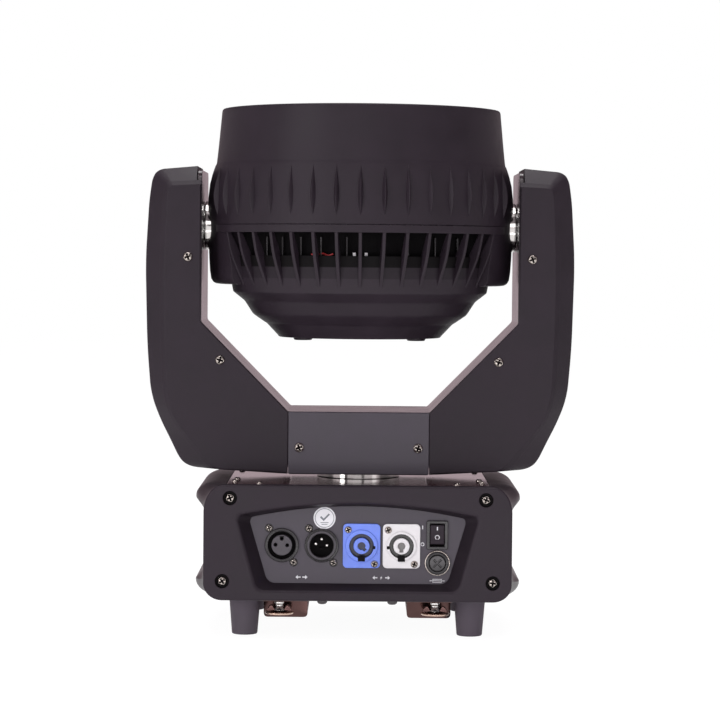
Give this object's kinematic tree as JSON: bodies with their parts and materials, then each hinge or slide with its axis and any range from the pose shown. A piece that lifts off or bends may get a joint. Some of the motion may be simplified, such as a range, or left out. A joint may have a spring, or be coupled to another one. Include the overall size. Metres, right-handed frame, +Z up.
{
  "type": "moving head light",
  "caption": "Stage wash light: a base with a connector panel, a yoke that pans on it, and a round multi-lens head that tilts between the yoke's arms.",
  "frame": {"origin": "on the pan axis at floor level, under the rubber feet", "axes": "+Z up along the pan axis and, at rest, along the beam; +X along the tilt axis; the connector panel faces -Y"},
  "size_m": [0.306, 0.2144, 0.3707],
  "materials": {
    "black_plastic": "satin moulded plastic with a fine spark-eroded texture",
    "gloss_black": "smooth black plastic",
    "black_metal": "satin black powder coat on sheet steel",
    "grey_metal": "blue-grey fine powder coat on sheet steel",
    "rubber": "matt black rubber",
    "chrome": "bright plated steel",
    "aluminium": "machined aluminium",
    "blue_plastic": "blue moulded connector plastic",
    "white_plastic": "white moulded connector plastic",
    "clear_lens": "clear optical acrylic",
    "circuit_board": "green solder-mask circuit board"
  },
  "bodies": {
    "base": {"base_tray": "black_metal", "base_top_plate": "black_metal", "rear_bezel": "black_plastic", "front_bezel": "black_plastic", "side_cover_left": "black_plastic", "side_cover_right": "black_plastic", "connector_plate": "grey_metal", "data_socket_out": "gloss_black", "data_socket_in": "gloss_black", "power_inlet": "blue_plastic", "power_outlet": "white_plastic", "switch_housing": "gloss_black", "fuse_holder": "gloss_black", "menu_panel": "gloss_black", "display_module": "circuit_board", "foot_rear_left": "rubber", "foot_rear_right": "rubber", "foot_front_left": "rubber", "foot_front_right": "rubber", "omega_bracket_left": "chrome", "omega_bracket_right": "chrome", "pan_motor": "black_metal", "pan_belt": "rubber", "power_supply": "aluminium"},
    "yoke": {"pan_hub": "chrome", "yoke_frame": "black_metal", "crossbar_cover_rear": "grey_metal", "crossbar_cover_front": "grey_metal", "arm_cover_right_rear": "black_plastic", "arm_cover_right_front": "black_plastic", "arm_cover_left_rear": "black_plastic", "arm_cover_left_front": "black_plastic", "tilt_motor": "black_metal", "tilt_belt": "rubber"},
    "head": {"head_hood": "black_plastic", "head_rear_housing": "black_plastic", "cheek_left": "black_plastic", "cheek_right": "black_plastic", "trunnion_left": "chrome", "trunnion_right": "chrome", "tilt_pulley": "aluminium", "led_board": "white_plastic", "heatsink": "aluminium", "fan_frame": "gloss_black", "zoom_actuator": "black_metal"},
    "rocker": {"switch_rocker": "gloss_black"},
    "fuse_cap": {"fuse_cap": "gloss_black"},
    "menu_button_1": {"menu_button_1": "rubber"},
    "menu_button_2": {"menu_button_2": "rubber"},
    "menu_button_3": {"menu_button_3": "rubber"},
    "menu_button_4": {"menu_button_4": "rubber"},
    "bracket_lock_1": {"bracket_lock_1": "chrome"},
    "bracket_lock_2": {"bracket_lock_2": "chrome"},
    "bracket_lock_3": {"bracket_lock_3": "chrome"},
    "bracket_lock_4": {"bracket_lock_4": "chrome"},
    "pan_drive": {"pan_motor_pulley": "aluminium"},
    "tilt_drive": {"tilt_motor_pulley": "aluminium"},
    "zoom_carriage": {"lens_plate": "black_metal", "lens_array": "clear_lens"},
    "fan": {"fan_rotor": "gloss_black"}
  },
  "joints": [
    {"name": "pan", "type": "hinge", "parent": "base", "child": "yoke", "pos_m": [0, 0, 0.1068], "axis": [0, 0, 1], "range_deg": [-270, 270]},
    {"name": "tilt", "type": "hinge", "parent": "yoke", "child": "head", "pos_m": [0, 0, 0.287], "axis": [1, 0, 0], "range_deg": [-135, 135]},
    {"name": "zoom", "type": "slide", "parent": "head", "child": "zoom_carriage", "axis": [0, 0, 1], "range_m": [-0.01, 0.005]},
    {"name": "fan_spin", "type": "hinge", "parent": "head", "child": "fan", "pos_m": [0, 0, 0.2265], "axis": [0, 0, 1], "continuous": true},
    {"name": "pan_motor_spin", "type": "hinge", "parent": "base", "child": "pan_drive", "pos_m": [-0.062, 0.02, 0.0655], "axis": [0, 0, 1], "range_deg": [-811, 811]},
    {"name": "tilt_motor_spin", "type": "hinge", "parent": "yoke", "child": "tilt_drive", "pos_m": [0.132, 0, 0.18], "axis": [1, 0, 0], "range_deg": [-406, 406]},
    {"name": "power_switch", "type": "hinge", "parent": "base", "child": "rocker", "pos_m": [0.0553, -0.0814, 0.0724], "axis": [1, 0, 0], "range_deg": [0, 16]},
    {"name": "fuse_turn", "type": "hinge", "parent": "base", "child": "fuse_cap", "pos_m": [0.0555, -0.084, 0.0529], "axis": [0, -1, 0], "range_deg": [0, 90]},
    {"name": "menu_press_1", "type": "slide", "parent": "base", "child": "menu_button_1", "axis": [0, -1, 0], "range_m": [0, 0.001]},
    {"name": "menu_press_2", "type": "slide", "parent": "base", "child": "menu_button_2", "axis": [0, -1, 0], "range_m": [0, 0.001]},
    {"name": "menu_press_3", "type": "slide", "parent": "base", "child": "menu_button_3", "axis": [0, -1, 0], "range_m": [0, 0.001]},
    {"name": "menu_press_4", "type": "slide", "parent": "base", "child": "menu_button_4", "axis": [0, -1, 0], "range_m": [0, 0.001]},
    {"name": "lock_turn_1", "type": "hinge", "parent": "base", "child": "bracket_lock_1", "pos_m": [-0.0545, -0.071, 0.02], "axis": [0, 0, 1], "range_deg": [0, 90]},
    {"name": "lock_turn_2", "type": "hinge", "parent": "base", "child": "bracket_lock_2", "pos_m": [0.0545, -0.071, 0.02], "axis": [0, 0, 1], "range_deg": [0, 90]},
    {"name": "lock_turn_3", "type": "hinge", "parent": "base", "child": "bracket_lock_3", "pos_m": [-0.0545, 0.071, 0.02], "axis": [0, 0, 1], "range_deg": [0, 90]},
    {"name": "lock_turn_4", "type": "hinge", "parent": "base", "child": "bracket_lock_4", "pos_m": [0.0545, 0.071, 0.02], "axis": [0, 0, 1], "range_deg": [0, 90]}
  ],
  "couplings": [
    {"joint": "pan_motor_spin", "follows": "pan", "ratio": 3},
    {"joint": "tilt_motor_spin", "follows": "tilt", "ratio": 3}
  ]
}
